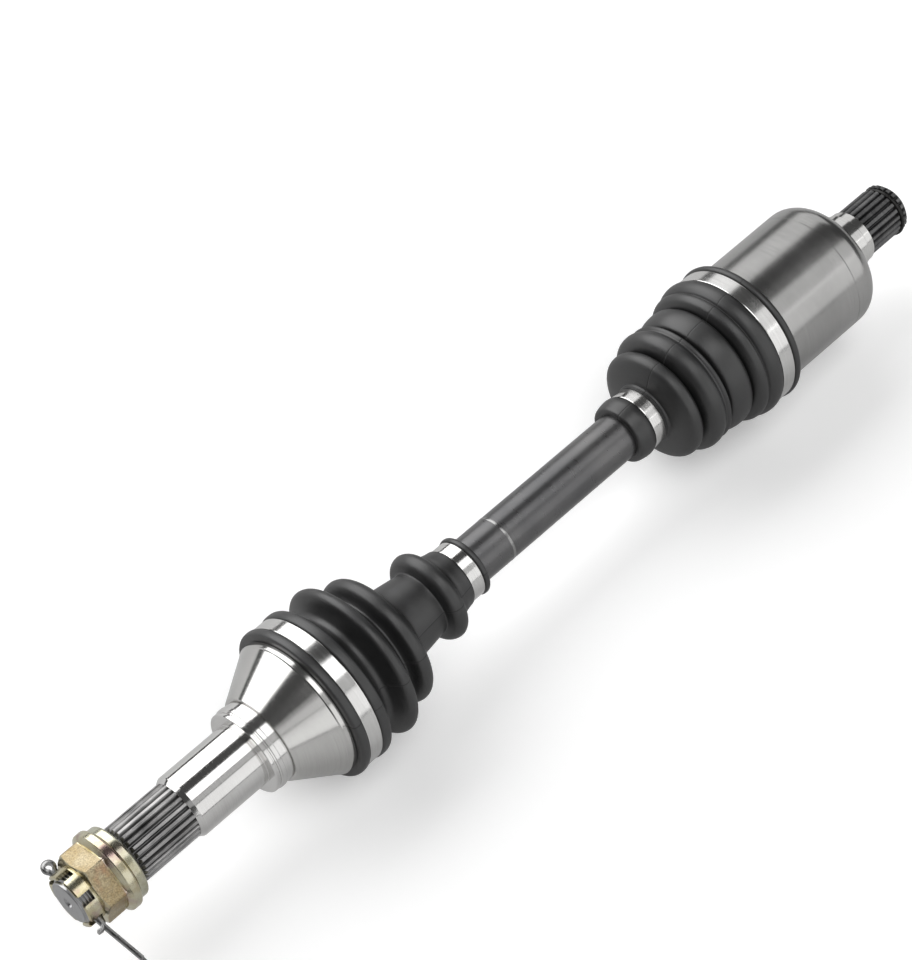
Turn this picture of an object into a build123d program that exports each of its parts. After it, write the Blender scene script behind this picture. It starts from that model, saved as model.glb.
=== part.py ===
"""CV axle (half shaft) for a light off-road vehicle, millimetres.

The axle lies along X. The origin is the centre of the face that the wheel bearing seats against.
-X is the wheel end (outer joint stub, castle nut) and +X is the gearbox end (inner joint, splined stub).
The outer joint is a fixed ball joint, and the inner one is a ball joint that also slides in its cup.
"""
import os
from math import asin, cos, degrees, radians, sin, sqrt

from build123d import *

os.makedirs("parts", exist_ok=True)

# ---------------------------------------------------------------- driving dimensions
# layout
bearing_seat_to_outer_joint = 40.0
joint_spacing = 287.0
ball_count = 6

# fits and working gaps
sphere_gap = 0.3          # cage to race and cage to housing, on radius
window_gap = 0.12         # ball to cage window, each side along X
track_side_gap = 1.12     # ball to outer-joint track: a ball wanders sideways as the joint bends
plunge_track_gap = 0.45   # the same in the inner joint, which bends less
bore_gap = 0.03           # races on the shaft, nut and washer on the thread
rubber_gap = 0.05         # boot cuffs and clamps, which sit skin-tight on the real axle

# wheel-end stub
journal_radius = 15.0
journal_length = 34.4
journal_lead = 2.4
hub_spline_radius = 13.5
hub_spline_length = 29.7
hub_spline_teeth = 27
thread_radius = 10.9
thread_length = 29.5
stub_chamfer = 1.2
pin_hole_radius = 2.0
pin_hole_inset = 4.6      # from the stub's end face

# shoulder ring and bell
shoulder_radius = 20.4
shoulder_width = 5.4
neck_land_radius = 20.0
neck_land_width = 3.9
cone_start_radius = 21.4
bell_radius = 33.6
bell_cone_length = 20.0
bell_rim_land = 3.0
cuff_groove_depth = 0.7
bell_mouth_reach = 8.0    # joint centre to the bell's mouth

# outer joint
outer_ball_radius = 6.35
outer_ball_circle = 22.0
outer_race_radius = 19.9
outer_race_half_width = 8.5
outer_cage_wall = 4.5
outer_cage_half_width = 9.0
outer_window_length = 15.2
track_back_angle = 42.0
track_front_angle = 50.0
race_track_angle = 60.0

# inner joint
inner_ball_radius = 6.0
inner_ball_circle = 21.5
inner_race_radius = 19.2
inner_race_half_width = 8.0
inner_cage_wall = 4.0
inner_cage_half_width = 8.5
inner_window_length = 13.4
cup_radius = 31.4
cup_mouth_reach = 24.0    # joint centre to the cup's mouth
cup_depth = 57.0
cup_floor = 15.1
cup_corner = 4.0
cup_chamfer = 1.2
cup_ring_wire = 0.8
cup_ring_sink = 0.5       # bend circle of the wire, outside the bore
cup_ring_inset = 2.2
cup_mark_inset = 16.5     # turned line near the cup's closed end

# gearbox-end stub
seal_radius = 14.0
seal_length = 12.4
stub_step_radius = 13.4
stub_step_length = 4.3
gear_spline_radius = 12.5
gear_spline_length = 27.2
gear_spline_teeth = 23
spline_depth = 1.3
spline_tip_share = 0.42
end_chamfer = 1.5
clip_inset = 5.6          # groove centre to the stub's end
clip_wire = 0.85
clip_groove_depth = 1.5
clip_opening = 40.0       # degrees left open in the wire ring

# shaft
shaft_radius = 11.25
shaft_outer_seat = 10.0
shaft_inner_seat = 9.8
shaft_end_past_race = 4.0
shaft_outer_taper = (24.5, 30.0)     # past the outer joint centre: taper starts, taper ends
shaft_inner_taper = (22.0, 16.0)     # before the inner joint centre: taper starts, taper ends
race_ring_radius = 12.0
race_ring_width = 1.6
race_ring_groove = 0.9
shaft_mark_radius = 11.35
shaft_mark_width = 1.4
shaft_mark_place = 110.3   # past the outer joint centre

# nut, washer and cotter pin
nut_across_flats = 30.0
nut_flange_radius = 19.0
nut_flange_thickness = 5.4
nut_hex_height = 10.4
nut_crown_radius = 12.9
nut_crown_height = 6.8
nut_slot_width = 4.6
nut_slot_depth = 5.9
nut_turn = 10.0            # degrees that the slots stand from the Y axis
washer_radius = 17.3
washer_thickness = 4.4
washer_standoff = 1.8      # washer to the start of the spline
edge_break = 0.5
pin_radius = 1.6
pin_eye_radius = 2.3
pin_eye_wire = 0.95
pin_eye_reach = 16.8
pin_knee_reach = 13.6
pin_long_leg = 27.2
pin_long_lean = 5.0
pin_short_leg = 4.4
pin_short_lean = -28.0

# boots and clamps
rubber = 2.2
clamp_band = 0.9
small_band = 0.75
outer_cuff_wall = 3.0      # rubber between the bell and its clamp
inner_cuff_wall = 2.5      # rubber between the cup and its clamp
outer_neck_wall = 1.85     # rubber between the shaft and the small clamps
inner_neck_wall = 2.65
outer_bead_height = 1.6    # bead beside a clamp, above its groove
inner_bead_height = 1.85
small_bead_height = 1.5

# ---------------------------------------------------------------- worked-out places
outer_x = bearing_seat_to_outer_joint
inner_x = outer_x + joint_spacing
ball_step = 360.0 / ball_count

spline_inner_end = -journal_length - journal_lead
spline_outer_end = spline_inner_end - hub_spline_length
stub_end = spline_outer_end - thread_length
washer_face = spline_outer_end - washer_standoff
nut_face = washer_face - washer_thickness
nut_hex_x = nut_face - nut_flange_thickness
nut_crown_x = nut_hex_x - nut_hex_height
nut_end = nut_crown_x - nut_crown_height
pin_x = stub_end + pin_hole_inset

bell_mouth = outer_x + bell_mouth_reach
cone_start = shoulder_width + neck_land_width
cone_end = cone_start + bell_cone_length
boot_start = cone_end + bell_rim_land
cuff_seat = bell_radius - cuff_groove_depth
big_cuff_radius = cuff_seat + outer_cuff_wall
outer_bead_radius = big_cuff_radius + outer_bead_height

outer_cage_inside = outer_race_radius + sphere_gap
outer_cage_outside = outer_cage_inside + outer_cage_wall
bell_sphere = outer_cage_outside + sphere_gap
inner_cage_inside = inner_race_radius + sphere_gap
inner_cage_outside = inner_cage_inside + inner_cage_wall
cup_bore = inner_cage_outside + sphere_gap

cup_mouth = inner_x - cup_mouth_reach
cup_inside_end = cup_mouth + cup_depth
inner_big_cuff_radius = cup_radius + inner_cuff_wall
inner_bead_radius = inner_big_cuff_radius + inner_bead_height
small_cuff_radius = shaft_radius + outer_neck_wall
inner_small_cuff_radius = shaft_radius + inner_neck_wall
cup_back = cup_inside_end + cup_floor
seal_end = cup_back + seal_length
gear_spline_start = seal_end + stub_step_length
gear_stub_end = gear_spline_start + gear_spline_length
clip_x = gear_stub_end - clip_inset

shaft_wheel_end = outer_x - outer_race_half_width - shaft_end_past_race
shaft_gear_end = inner_x + inner_race_half_width + shaft_end_past_race
outer_ring_x = outer_x - outer_race_half_width - race_ring_width
inner_ring_x = inner_x + inner_race_half_width


def save(piece, name):
    """Label a finished piece and write it under its node name."""
    piece.part.label = name
    export_step(piece.part, f"parts/{name}.step")


def tooth_outline(crest, teeth):
    """Corners of one spline tooth about the Y axis of a cross-section, root to crest and back."""
    root = crest - spline_depth
    half = radians(180.0 / teeth)
    wide, narrow = 0.86 * half, spline_tip_share * half
    inside = root - edge_break
    return [
        (-inside * sin(wide), inside * cos(wide)),
        (-root * sin(wide), root * cos(wide)),
        (-crest * sin(narrow), crest * cos(narrow)),
        (crest * sin(narrow), crest * cos(narrow)),
        (root * sin(wide), root * cos(wide)),
        (inside * sin(wide), inside * cos(wide)),
    ]


def ball_place(joint_x, circle, number):
    """Centre of a ball, number 0 at the top and counted around X."""
    turn = radians(number * ball_step)
    return (joint_x, -circle * sin(turn), circle * cos(turn))


# ---------------------------------------------------------------- outer joint housing
def make_track(joint_x, circle, radius, back, front):
    """One ball track at the top of a joint: a round groove bent about the joint's centre."""
    across = Plane((joint_x, 0, 0), x_dir=(0, 1, 0), z_dir=(1, 0, 0)).rotated((0, -back, 0))
    with BuildPart() as track:
        with BuildSketch(across):
            with Locations((0, circle)):
                Circle(radius)
        revolve(axis=Axis((joint_x, 0, 0), (0, 1, 0)), revolution_arc=back + front)
    return track.part


bell_track = make_track(outer_x, outer_ball_circle, outer_ball_radius + track_side_gap,
                        track_back_angle, track_front_angle)

with BuildPart() as outer_housing:
    with BuildSketch(Plane.XZ):
        with BuildLine():
            Polyline(
                (stub_end, 0),
                (stub_end, thread_radius - stub_chamfer),
                (stub_end + stub_chamfer, thread_radius),
                (spline_outer_end, thread_radius),
                (spline_outer_end, hub_spline_radius - spline_depth),
                (spline_inner_end, hub_spline_radius - spline_depth),
                (spline_inner_end, hub_spline_radius),
                (-journal_length, journal_radius),
                (0, journal_radius),
                (0, shoulder_radius - 0.6),
                (shoulder_width * 0.30, shoulder_radius - 0.4),
                (shoulder_width * 0.34, shoulder_radius - 0.9),
                (shoulder_width * 0.60, shoulder_radius - 0.9),
                (shoulder_width * 0.64, shoulder_radius),
                (shoulder_width, shoulder_radius),
                (shoulder_width, neck_land_radius),
                (cone_start - 0.4, neck_land_radius),
                (cone_start - 0.2, neck_land_radius - 0.4),
                (cone_start, cone_start_radius),
                (cone_end, bell_radius),
                (boot_start - 0.2, bell_radius),
                (boot_start - 0.2, cuff_seat),
                (bell_mouth, cuff_seat),
                (bell_mouth, 0),
                close=True,
            )
        make_face()
    revolve(axis=Axis.X)
    # hub spline, its tooth ends bevelled
    with BuildSketch(Plane.YZ.offset(spline_outer_end)):
        with PolarLocations(0, hub_spline_teeth):
            Polygon(*tooth_outline(hub_spline_radius, hub_spline_teeth), align=None)
    extrude(amount=hub_spline_length)
    with BuildSketch(Plane.XZ):
        Polygon(
            (spline_outer_end - 1, hub_spline_radius - spline_depth),
            (spline_outer_end, hub_spline_radius - spline_depth),
            (spline_outer_end + spline_depth, hub_spline_radius + 0.1),
            (spline_outer_end - 1, hub_spline_radius + 0.1),
            align=None,
        )
    revolve(axis=Axis.X, mode=Mode.SUBTRACT)
    # centre drilling in the end face, and the cross hole for the cotter pin
    with BuildSketch(Plane.XZ):
        Polygon((stub_end, 0), (stub_end, 2.6), (stub_end + 3.2, 1.0), (stub_end + 7.0, 0), align=None)
    revolve(axis=Axis.X, mode=Mode.SUBTRACT)
    with Locations(Location((pin_x, 0, 0), (nut_turn - 90, 0, 0))):
        Cylinder(pin_hole_radius, 3 * thread_radius, mode=Mode.SUBTRACT)
    # ball cavity, bevelled mouth and the six tracks
    with Locations((outer_x, 0, 0)):
        Sphere(bell_sphere, mode=Mode.SUBTRACT)
    mouth_bevel = 1.5
    mouth_edge = sqrt(bell_sphere**2 - bell_mouth_reach**2)
    with BuildSketch(Plane.XZ):
        Polygon(
            (bell_mouth - mouth_bevel, mouth_edge - 0.5),
            (bell_mouth + 0.1, mouth_edge - 0.5),
            (bell_mouth + 0.1, mouth_edge + mouth_bevel),
            (bell_mouth, mouth_edge + mouth_bevel),
            align=None,
        )
    revolve(axis=Axis.X, mode=Mode.SUBTRACT)
    for number in range(ball_count):
        add(bell_track.rotate(Axis.X, number * ball_step), mode=Mode.SUBTRACT)
save(outer_housing, "outer_housing")

# ---------------------------------------------------------------- nut, washer and cotter pin
with BuildPart() as castle_nut:
    corner_radius = nut_across_flats / 2 / cos(radians(30))
    with BuildSketch(Plane.YZ.offset(nut_crown_x)):
        RegularPolygon(nut_across_flats / 2, 6, major_radius=False, rotation=nut_turn + 30)
    extrude(amount=nut_hex_height + nut_flange_thickness / 2)
    # the hexagon's corners are turned off towards the crown
    with BuildSketch(Plane.XZ):
        Polygon(
            (nut_crown_x, 0),
            (nut_crown_x, nut_across_flats / 2 - edge_break),
            (nut_crown_x + 0.55 * (corner_radius - nut_across_flats / 2 + edge_break), corner_radius),
            (nut_hex_x, corner_radius),
            (nut_hex_x, corner_radius + edge_break),
            (nut_face, corner_radius + edge_break),
            (nut_face, 0),
            align=None,
        )
    revolve(axis=Axis.X, mode=Mode.INTERSECT)
    with BuildSketch(Plane.XZ):
        Polygon(
            (nut_hex_x, 0),
            (nut_hex_x, corner_radius - edge_break),
            (nut_hex_x + edge_break, nut_flange_radius),
            (nut_face - edge_break, nut_flange_radius),
            (nut_face, nut_flange_radius - edge_break),
            (nut_face, 0),
            align=None,
        )
    revolve(axis=Axis.X)
    with BuildSketch(Plane.XZ):
        Polygon(
            (nut_end, 0),
            (nut_end, nut_crown_radius - edge_break),
            (nut_end + edge_break, nut_crown_radius),
            (nut_crown_x + edge_break, nut_crown_radius),
            (nut_crown_x + edge_break, 0),
            align=None,
        )
    revolve(axis=Axis.X)
    with Locations(Location(((nut_end + nut_face) / 2, 0, 0), (0, 90, 0))):
        Cylinder(thread_radius + bore_gap, nut_face - nut_end + 2, mode=Mode.SUBTRACT)
    for number in range(3):
        with Locations(Location((nut_end, 0, 0), (nut_turn + 60 * number, 0, 0))):
            Box(2 * nut_slot_depth, 4 * nut_crown_radius, nut_slot_width, mode=Mode.SUBTRACT)
save(castle_nut, "castle_nut")

with BuildPart() as nut_washer:
    with BuildSketch(Plane.XZ):
        with BuildLine():
            Polyline(
                (nut_face, thread_radius + bore_gap),
                (nut_face, washer_radius - edge_break),
                (nut_face + edge_break, washer_radius),
                (washer_face - edge_break, washer_radius),
                (washer_face, washer_radius - edge_break),
                (washer_face, thread_radius + bore_gap),
                close=True,
            )
        make_face()
    revolve(axis=Axis.X)
save(nut_washer, "nut_washer")

# The pin is drawn along +Y and -Y and then turned with the nut's slots.
with BuildPart() as cotter_pin:
    with Locations(Location((pin_x, 0, 0), (90, 0, 0))):
        Cylinder(pin_radius, 2 * pin_knee_reach)
    with Locations((pin_x, pin_eye_reach, 0)):
        Torus(pin_eye_radius, pin_eye_wire)
    for leg, lean in ((pin_long_leg, pin_long_lean), (pin_short_leg, pin_short_lean)):
        middle = leg / 2 - pin_radius / 2
        x_step = middle * sin(radians(lean))
        y_step = middle * cos(radians(lean))
        centre = (pin_x + x_step, -pin_knee_reach - y_step, 0)
        with Locations(Location(centre, (90, lean, 0))):
            Cylinder(0.9 * pin_radius, leg)
pin_turned = cotter_pin.part.rotate(Axis.X, nut_turn)
pin_turned.label = "cotter_pin"
export_step(pin_turned, "parts/cotter_pin.step")


# ---------------------------------------------------------------- the two ball sets
def make_race(joint_x, race_radius, half_width, bore, ball_circle, groove_radius, name):
    """Inner race: a ball-shaped ring with one groove per ball, all centred on the joint."""
    groove = make_track(joint_x, ball_circle, groove_radius, race_track_angle, race_track_angle)
    with BuildPart() as race:
        with Locations((joint_x, 0, 0)):
            Sphere(race_radius)
            Box(2 * half_width, 3 * race_radius, 3 * race_radius, mode=Mode.INTERSECT)
        with Locations(Location((joint_x, 0, 0), (0, 90, 0))):
            Cylinder(bore, 4 * half_width, mode=Mode.SUBTRACT)
        for number in range(ball_count):
            add(groove.rotate(Axis.X, number * ball_step), mode=Mode.SUBTRACT)
    save(race, name)


def make_cage(joint_x, inside, outside, half_width, ball_circle, window, name):
    """Cage: a ball-shaped shell with one window per ball. window is (along X, around)."""
    with BuildPart() as cage:
        with Locations((joint_x, 0, 0)):
            Sphere(outside)
            Sphere(inside, mode=Mode.SUBTRACT)
            Box(2 * half_width, 3 * outside, 3 * outside, mode=Mode.INTERSECT)
        for number in range(ball_count):
            with Locations(Location((joint_x, 0, 0), (number * ball_step, 0, 0))):
                with Locations((0, 0, ball_circle)):
                    Box(window[0], window[1], 4 * (outside - inside), mode=Mode.SUBTRACT)
    save(cage, name)


def make_balls(joint_x, ball_circle, radius, prefix):
    """Loose balls, each its own piece, number 1 at the top."""
    for number in range(ball_count):
        with BuildPart() as ball:
            with Locations(ball_place(joint_x, ball_circle, number)):
                Sphere(radius)
        save(ball, f"{prefix}_ball_{number + 1}")


make_race(outer_x, outer_race_radius, outer_race_half_width, shaft_outer_seat + bore_gap,
          outer_ball_circle, outer_ball_radius + track_side_gap, "outer_race")
make_cage(outer_x, outer_cage_inside, outer_cage_outside, outer_cage_half_width,
          outer_ball_circle, (2 * (outer_ball_radius + window_gap), outer_window_length), "outer_cage")
make_balls(outer_x, outer_ball_circle, outer_ball_radius, "outer")

make_race(inner_x, inner_race_radius, inner_race_half_width, shaft_inner_seat + bore_gap,
          inner_ball_circle, inner_ball_radius + plunge_track_gap, "inner_race")
make_cage(inner_x, inner_cage_inside, inner_cage_outside, inner_cage_half_width,
          inner_ball_circle, (2 * (inner_ball_radius + window_gap), inner_window_length), "inner_cage")
make_balls(inner_x, inner_ball_circle, inner_ball_radius, "inner")

# ---------------------------------------------------------------- shaft and the rings on it
with BuildPart() as axle_shaft:
    outer_groove_floor = shaft_outer_seat - race_ring_groove
    inner_groove_floor = shaft_inner_seat - race_ring_groove
    mark_x = outer_x + shaft_mark_place
    with BuildSketch(Plane.XZ):
        with BuildLine():
            Polyline(
                (shaft_wheel_end, 0),
                (shaft_wheel_end, shaft_outer_seat - 1.0),
                (shaft_wheel_end + 1.0, shaft_outer_seat),
                (outer_ring_x, shaft_outer_seat),
                (outer_ring_x, outer_groove_floor),
                (outer_ring_x + race_ring_width, outer_groove_floor),
                (outer_ring_x + race_ring_width, shaft_outer_seat),
                (outer_x + shaft_outer_taper[0], shaft_outer_seat),
                (outer_x + shaft_outer_taper[1], shaft_radius),
                (mark_x, shaft_radius),
                (mark_x, shaft_mark_radius),
                (mark_x + shaft_mark_width, shaft_mark_radius),
                (mark_x + shaft_mark_width, shaft_radius),
                (inner_x - shaft_inner_taper[0], shaft_radius),
                (inner_x - shaft_inner_taper[1], shaft_inner_seat),
                (inner_ring_x, shaft_inner_seat),
                (inner_ring_x, inner_groove_floor),
                (inner_ring_x + race_ring_width, inner_groove_floor),
                (inner_ring_x + race_ring_width, shaft_inner_seat),
                (shaft_gear_end - 1.0, shaft_inner_seat),
                (shaft_gear_end, shaft_inner_seat - 1.0),
                (shaft_gear_end, 0),
                close=True,
            )
        make_face()
    revolve(axis=Axis.X)
save(axle_shaft, "axle_shaft")

for ring_name, ring_x, floor in (
    ("outer_race_ring", outer_ring_x, outer_groove_floor),
    ("inner_race_ring", inner_ring_x, inner_groove_floor),
):
    with BuildPart() as race_ring:
        with BuildSketch(Plane.XZ):
            with Locations((ring_x + race_ring_width / 2, (race_ring_radius + floor) / 2)):
                Rectangle(race_ring_width, race_ring_radius - floor)
        revolve(axis=Axis.X)
        # open gap for the pliers, at the bottom
        with Locations((ring_x + race_ring_width / 2, 0, -race_ring_radius)):
            Box(2 * race_ring_width, 4.0, 6.0, mode=Mode.SUBTRACT)
    save(race_ring, ring_name)

# ---------------------------------------------------------------- inner joint housing
with BuildPart() as inner_housing:
    with BuildSketch(Plane.XZ):
        with BuildLine():
            Polyline(
                (cup_mouth, 0),
                (cup_mouth, cup_radius - 0.6),
                (cup_mouth + 0.6, cup_radius),
                (cup_back - cup_mark_inset, cup_radius),
                (cup_back - cup_mark_inset + 0.25, cup_radius - 0.25),
                (cup_back - cup_mark_inset + 0.5, cup_radius),
                (cup_back - cup_corner, cup_radius),
            )
            RadiusArc((cup_back - cup_corner, cup_radius), (cup_back, cup_radius - cup_corner), cup_corner)
            Polyline(
                (cup_back, cup_radius - cup_corner),
                (cup_back, seal_radius),
                (seal_end, seal_radius),
                (seal_end, stub_step_radius),
                (gear_spline_start, stub_step_radius),
                (gear_spline_start, gear_spline_radius - spline_depth),
                (gear_stub_end - end_chamfer, gear_spline_radius - spline_depth),
                (gear_stub_end, gear_spline_radius - spline_depth - end_chamfer),
                (gear_stub_end, 0),
                (cup_mouth, 0),
            )
        make_face()
    revolve(axis=Axis.X)
    with BuildSketch(Plane.YZ.offset(gear_spline_start)):
        with PolarLocations(0, gear_spline_teeth):
            Polygon(*tooth_outline(gear_spline_radius, gear_spline_teeth), align=None)
    extrude(amount=gear_spline_length)
    # bevelled end of the teeth, and the wire ring's groove across them
    with BuildSketch(Plane.XZ):
        Polygon(
            (gear_stub_end + 0.1, gear_spline_radius - spline_depth - end_chamfer - 0.1),
            (gear_stub_end + 0.1, gear_spline_radius + 0.1),
            (gear_stub_end - spline_depth - end_chamfer, gear_spline_radius + 0.1),
            align=None,
        )
        with Locations((clip_x, gear_spline_radius)):
            Rectangle(2 * clip_wire + 0.2, 2 * clip_groove_depth)
    revolve(axis=Axis.X, mode=Mode.SUBTRACT)
    # centre drilling
    with BuildSketch(Plane.XZ):
        Polygon((gear_stub_end, 0), (gear_stub_end, 2.6), (gear_stub_end - 3.2, 1.0),
                (gear_stub_end - 7.0, 0), align=None)
    revolve(axis=Axis.X, mode=Mode.SUBTRACT)
    # cylindrical bore, straight ball tracks, mouth bevel and the wire ring's groove
    with Locations(Location((cup_mouth + cup_depth / 2, 0, 0), (0, 90, 0))):
        Cylinder(cup_bore, cup_depth, mode=Mode.SUBTRACT)
    with BuildSketch(Plane.YZ.offset(cup_mouth)):
        with PolarLocations(inner_ball_circle, ball_count, start_angle=90):
            Circle(inner_ball_radius + plunge_track_gap)
    extrude(amount=cup_depth, mode=Mode.SUBTRACT)
    with BuildSketch(Plane.XZ):
        Polygon(
            (cup_mouth - 0.1, cup_bore - 1),
            (cup_mouth + cup_chamfer, cup_bore - 1),
            (cup_mouth + cup_chamfer, cup_bore),
            (cup_mouth, cup_bore + cup_chamfer),
            (cup_mouth - 0.1, cup_bore + cup_chamfer),
            align=None,
        )
        with Locations((cup_mouth + cup_ring_inset, cup_bore)):
            Rectangle(2 * cup_ring_wire + 0.1, 2 * (cup_ring_sink + cup_ring_wire + 0.1))
    revolve(axis=Axis.X, mode=Mode.SUBTRACT)
save(inner_housing, "inner_housing")

# wire ring that keeps the ball set in the cup
with BuildPart() as cup_ring:
    with Locations(Location((cup_mouth + cup_ring_inset, 0, 0), (0, 90, 0))):
        Torus(cup_bore + cup_ring_sink, cup_ring_wire)
    with Locations((cup_mouth + cup_ring_inset, 0, -cup_bore)):
        Box(4 * cup_ring_wire, 5.0, 8.0, mode=Mode.SUBTRACT)
save(cup_ring, "cup_retaining_ring")

# open wire ring that locks the stub in the gearbox; it sits low in its groove, resting on the teeth
with BuildPart() as stub_clip:
    clip_bend = gear_spline_radius - clip_groove_depth + clip_wire + rubber_gap
    with BuildSketch(Plane.XZ):
        with Locations((clip_x, clip_bend)):
            Circle(clip_wire)
    revolve(axis=Axis.X, revolution_arc=360 - clip_opening)
clip_turned = stub_clip.part.rotate(Axis.X, 180 + clip_opening / 2)
clip_turned.label = "stub_clip"
export_step(clip_turned, "parts/stub_clip.step")

# ---------------------------------------------------------------- boots and clamps
bead_end = bell_mouth + 1.3
big_band_start = boot_start + 4.8
big_band_end = big_band_start + 7.1
outer_small_cuff = outer_x + 82.4      # start of the small clamp's groove
outer_small_end = outer_small_cuff + 6.9
outer_boot_end = outer_small_end + 3.1
fold_length = outer_small_cuff - bead_end


def along_outer(share):
    """Place along the outer boot's folds, 0 at the big bead and 1 at the small clamp."""
    return bead_end + share * fold_length


outer_crest = big_cuff_radius + 1.25
outer_valley = cuff_seat - 1.4
middle_valley = cuff_seat - 4.9
second_crest = cuff_seat - 0.7
cone_end_radius = small_cuff_radius + 4.9
neck_radius = small_cuff_radius + 2.5
last_crest = small_cuff_radius + 9.1

outer_boot_outline = [
    (boot_start, cuff_seat + rubber),
    (boot_start, outer_bead_radius),
    (big_band_start, outer_bead_radius),
    (big_band_start, big_cuff_radius),
    (big_band_end, big_cuff_radius),
    (big_band_end, outer_bead_radius),
    (bead_end, outer_bead_radius),
    (along_outer(0.06), outer_valley),
    (along_outer(0.12), outer_valley),
    (along_outer(0.15), outer_crest),
    (along_outer(0.26), outer_crest),
    (along_outer(0.29), middle_valley),
    (along_outer(0.33), middle_valley),
    (along_outer(0.35), second_crest),
    (along_outer(0.43), second_crest),
    (along_outer(0.58), cone_end_radius),
    (along_outer(0.695), neck_radius),
    (along_outer(0.71), last_crest),
    (along_outer(0.87), last_crest),
    (along_outer(0.96), small_cuff_radius + 1.7),
    (outer_small_cuff, small_cuff_radius + 1.2),
    (outer_small_cuff, small_cuff_radius),
    (outer_small_end, small_cuff_radius),
    (outer_small_end, small_cuff_radius + small_bead_height),
    (outer_boot_end, small_cuff_radius + small_bead_height),
]
outer_boot_inside = [
    (boot_start, cuff_seat + rubber_gap),
    (bell_mouth, cuff_seat + rubber_gap),
    (bell_mouth + 0.4, outer_valley - rubber),
    (along_outer(0.12), outer_valley - rubber),
    (along_outer(0.15) + 0.3, outer_crest - rubber),
    (along_outer(0.26) - 0.3, outer_crest - rubber),
    (along_outer(0.29) - 1.5, middle_valley - rubber),
    (along_outer(0.33), middle_valley - rubber),
    (along_outer(0.36), second_crest - rubber),
    (along_outer(0.42), second_crest - rubber),
    (along_outer(0.57), cone_end_radius - rubber),
    (along_outer(0.72), neck_radius - rubber),
    (along_outer(0.74), last_crest - rubber),
    (along_outer(0.85), last_crest - rubber),
    (along_outer(0.94), shaft_radius + rubber_gap),
    (outer_boot_end, shaft_radius + rubber_gap),
]

inner_small_start = inner_x - 89.1      # start of the small clamp's groove
inner_small_end = inner_small_start + 6.7
inner_boot_start = inner_small_start - 9.6
inner_band_start = cup_mouth - 2.1
inner_band_end = inner_band_start + 8.0
inner_boot_end = inner_band_end + 3.4
inner_fold_length = inner_band_start - inner_small_end


def along_inner(share):
    """Place along the inner boot's folds, 0 at the small clamp and 1 at the big one."""
    return inner_small_end + share * inner_fold_length


first_fold = inner_small_cuff_radius + 13.4
first_valley = inner_small_cuff_radius + 8.6
second_fold = cup_radius - 0.4
second_valley = cup_radius - 5.9
third_fold = cup_radius - 0.2
third_valley = cup_radius - 2.6
last_fold = cup_radius + 2.6

inner_boot_outline = [
    (inner_boot_start, shaft_radius + rubber),
    (inner_boot_start + 2.0, inner_small_cuff_radius + small_bead_height),
    (inner_small_start, inner_small_cuff_radius + small_bead_height),
    (inner_small_start, inner_small_cuff_radius),
    (inner_small_end, inner_small_cuff_radius),
    (inner_small_end, inner_small_cuff_radius + 1.3),
    (along_inner(0.05), inner_small_cuff_radius + 1.7),
    (along_inner(0.09), first_fold),
    (along_inner(0.20), first_fold),
    (along_inner(0.24), first_valley),
    (along_inner(0.28), first_valley),
    (along_inner(0.31), second_fold),
    (along_inner(0.41), second_fold),
    (along_inner(0.46), second_valley),
    (along_inner(0.51), second_valley),
    (along_inner(0.57), third_fold),
    (along_inner(0.71), third_fold),
    (along_inner(0.74), third_valley),
    (along_inner(0.77), third_valley),
    (along_inner(0.79), last_fold),
    (along_inner(0.87), last_fold),
    (along_inner(0.90), inner_bead_radius),
    (along_inner(0.99), inner_bead_radius),
    (inner_band_start, inner_big_cuff_radius),
    (inner_band_end, inner_big_cuff_radius),
    (inner_band_end, inner_bead_radius),
    (inner_boot_end, inner_bead_radius),
]
inner_boot_inside = [
    (inner_boot_start, shaft_radius + rubber_gap),
    (along_inner(0.07), shaft_radius + rubber_gap),
    (along_inner(0.11), first_fold - rubber),
    (along_inner(0.18), first_fold - rubber),
    (along_inner(0.24), first_valley - rubber),
    (along_inner(0.28), first_valley - rubber),
    (along_inner(0.33), second_fold - rubber),
    (along_inner(0.39), second_fold - rubber),
    (along_inner(0.46), second_valley - rubber),
    (along_inner(0.51), second_valley - rubber),
    (along_inner(0.58), third_fold - rubber),
    (along_inner(0.70), third_fold - rubber),
    (along_inner(0.74), third_valley - rubber),
    (along_inner(0.78), third_valley - rubber),
    (along_inner(0.82), last_fold - rubber),
    (cup_mouth - 0.3, last_fold - rubber),
    (cup_mouth - 0.3, cup_radius + rubber_gap),
    (inner_boot_end, cup_radius + rubber_gap),
]

for boot_name, outline, inside in (
    ("outer_boot", outer_boot_outline, outer_boot_inside),
    ("inner_boot", inner_boot_outline, inner_boot_inside),
):
    with BuildPart() as boot:
        with BuildSketch(Plane.XZ):
            with BuildLine():
                Polyline(*outline, *reversed(inside), close=True)
            make_face()
        revolve(axis=Axis.X)
    save(boot, boot_name)

for clamp_name, start, end, seat, band in (
    ("outer_big_clamp", big_band_start, big_band_end, big_cuff_radius, clamp_band),
    ("outer_small_clamp", outer_small_cuff, outer_small_end, small_cuff_radius, small_band),
    ("inner_small_clamp", inner_small_start, inner_small_end, inner_small_cuff_radius, small_band),
    ("inner_big_clamp", inner_band_start, inner_band_end, inner_big_cuff_radius, clamp_band),
):
    with BuildPart() as clamp:
        with BuildSketch(Plane.XZ):
            with Locations(((start + end) / 2, seat + rubber_gap + band / 2)):
                RectangleRounded(end - start - 2 * rubber_gap, band, 0.3 * band)
        revolve(axis=Axis.X)
    save(clamp, clamp_name)
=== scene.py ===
import bpy, bmesh
from math import asin, atan2, cos, pi, radians, sin, sqrt, tan
from mathutils import Matrix, Vector


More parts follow.
